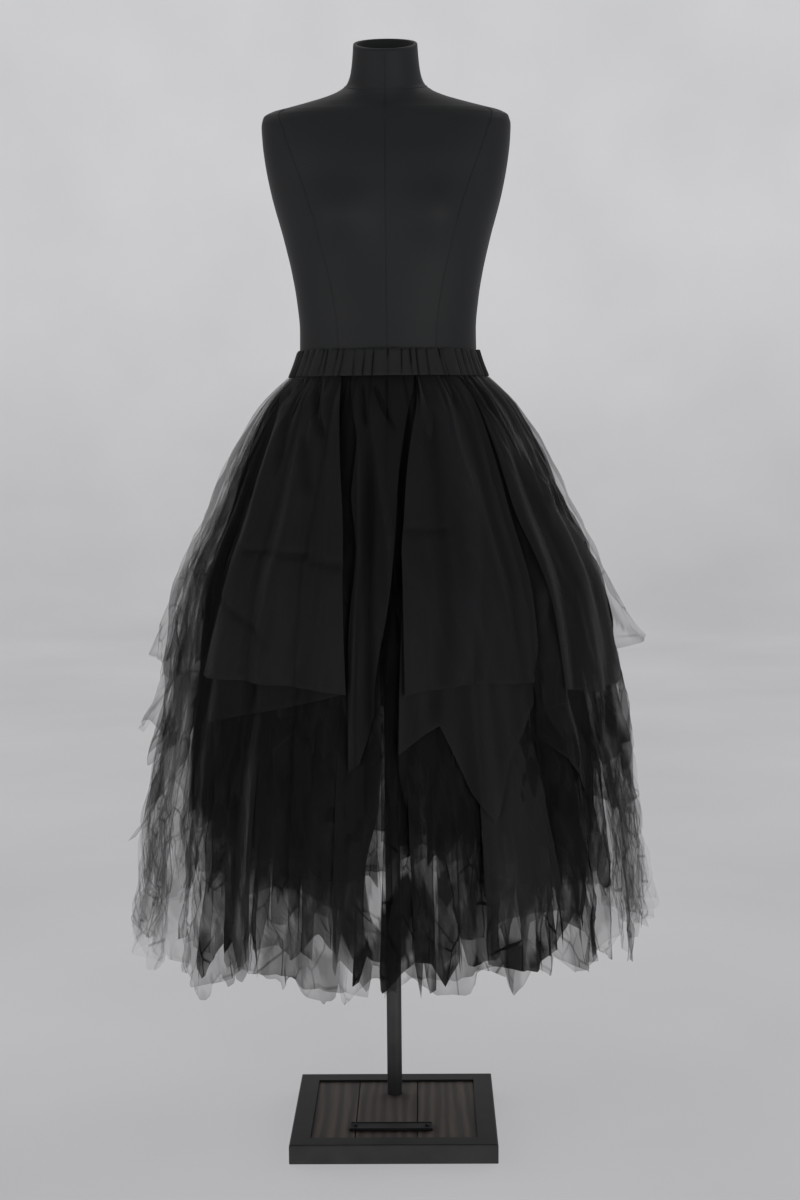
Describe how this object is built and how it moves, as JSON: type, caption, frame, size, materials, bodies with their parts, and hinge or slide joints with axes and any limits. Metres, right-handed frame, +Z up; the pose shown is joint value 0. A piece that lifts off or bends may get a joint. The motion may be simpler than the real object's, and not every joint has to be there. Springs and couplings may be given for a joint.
{
  "type": "tulle skirt on dress form",
  "caption": "Full layered tulle skirt with a gathered elastic waistband and uneven pointed hems, worn on a limbless dress form that stands on a pole with a square base.",
  "frame": {"origin": "on the floor under the pole's axis, in the plane of the base's underside", "axes": "+Z up the pole, the skirt's front faces -Y, +X to the right of a viewer who faces the front"},
  "size_m": [0.7832, 0.6791, 1.5738],
  "materials": {
    "tulle": "fine black net, faint sheen",
    "casing": "gathered black cotton over elastic",
    "form_cover": "taut charcoal jersey, slight sheen",
    "painted_steel": "dark grey satin paint",
    "wood": "dark stained planks",
    "plate_steel": "dark painted plate, bare"
  },
  "bodies": {
    "root": {"base_tray": "painted_steel", "dress_form": "form_cover", "long_back_left": "tulle", "long_back_right": "tulle", "long_front_left": "tulle", "long_front_right": "tulle", "long_side_left": "tulle", "long_side_right": "tulle", "middle_back_left": "tulle", "middle_back_right": "tulle", "middle_centre": "tulle", "middle_front_left": "tulle", "middle_front_right": "tulle", "middle_side_left": "tulle", "middle_side_right": "tulle", "plank_left": "wood", "plank_middle": "wood", "plank_right": "wood", "plate": "plate_steel", "pole": "painted_steel", "top_back_left": "tulle", "top_back_right": "tulle", "top_front_left": "tulle", "top_front_right": "tulle", "top_side_left": "tulle", "top_side_right": "tulle", "waistband": "casing"}
  },
  "joints": []
}
